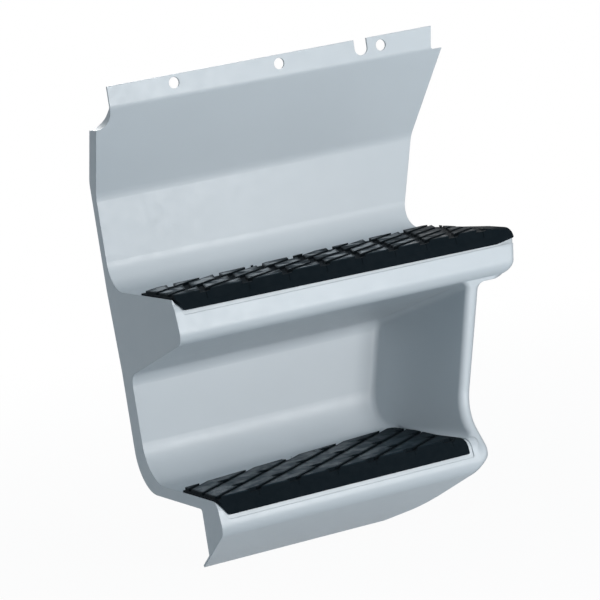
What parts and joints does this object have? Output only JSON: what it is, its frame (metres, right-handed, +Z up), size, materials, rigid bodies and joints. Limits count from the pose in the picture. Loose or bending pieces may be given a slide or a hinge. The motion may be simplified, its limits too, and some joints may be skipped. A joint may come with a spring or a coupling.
{
  "type": "truck cab step",
  "caption": "Moulded two-step entry panel for a truck cab: bolted top flange, hollow steps, foot recess closed by a side cheek, grooved rubber tread mats.",
  "frame": {"origin": "centre of the middle fixing hole, on the back face of the top flange", "axes": "+X along the steps to the right as seen by someone about to step up, +Y back into the vehicle, +Z up"},
  "size_m": [0.6805, 0.3449, 0.8245],
  "materials": {
    "shell": "satin silver-grey paint",
    "mat": "matt"
  },
  "bodies": {
    "root": {"step_shell": "shell", "upper_tread_mat": "mat", "lower_tread_mat": "mat"}
  },
  "joints": []
}
